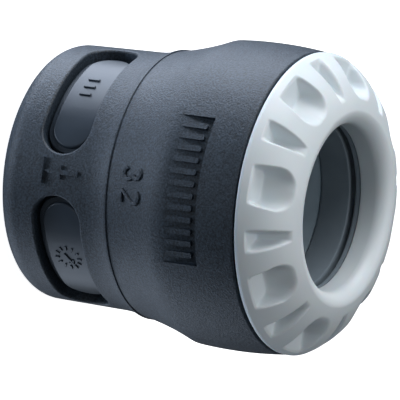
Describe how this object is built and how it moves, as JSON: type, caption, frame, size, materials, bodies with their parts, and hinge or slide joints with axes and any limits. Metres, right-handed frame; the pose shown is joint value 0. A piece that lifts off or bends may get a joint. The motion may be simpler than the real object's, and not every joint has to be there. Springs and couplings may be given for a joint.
{
  "type": "push fit pipe stop end",
  "caption": "Round push-fit pipe socket with a closed end: grained dark shell with pill windows and a flared bell, and a white screw ring with finger pockets.",
  "frame": {"origin": "centre of the flat far end, which is the bottom of the part when it stands on it", "axes": "+Z along the pipe axis, out of the mouth; -Y is the side with the depth bar, arrow and name panel"},
  "size_m": [0.0612, 0.0612, 0.0655],
  "materials": {
    "grained_polypropylene": "spark-grained moulding",
    "smooth_polypropylene": "satin moulding",
    "seal_rubber": "moulded rubber",
    "grey_polypropylene": "satin moulding",
    "black_acetal": "satin moulding",
    "white_acetal": "satin moulding"
  },
  "bodies": {
    "fitting": {"outer_shell": "grained_polypropylene", "inner_body": "smooth_polypropylene", "pipe_seal": "seal_rubber", "seal_retainer": "grey_polypropylene"},
    "ring_carrier": {"slip_washer": "black_acetal"},
    "lock_ring": {"lock_ring": "white_acetal"},
    "grip_ring": {"grip_ring": "black_acetal"}
  },
  "joints": [
    {"name": "lock_ring_travel", "type": "slide", "parent": "fitting", "child": "ring_carrier", "axis": [0, 0, 1], "range_m": [0, 0.004]},
    {"name": "lock_ring_turn", "type": "hinge", "parent": "ring_carrier", "child": "lock_ring", "pos_m": [0, 0, 0.0564], "axis": [0, 0, 1], "range_deg": [0, 360]},
    {"name": "grip_ring_slide", "type": "slide", "parent": "fitting", "child": "grip_ring", "axis": [0, 0, 1], "range_m": [0, 0.001]}
  ],
  "couplings": [
    {"joint": "lock_ring_travel", "follows": "lock_ring_turn", "m_per_rad": 0.0006366}
  ]
}
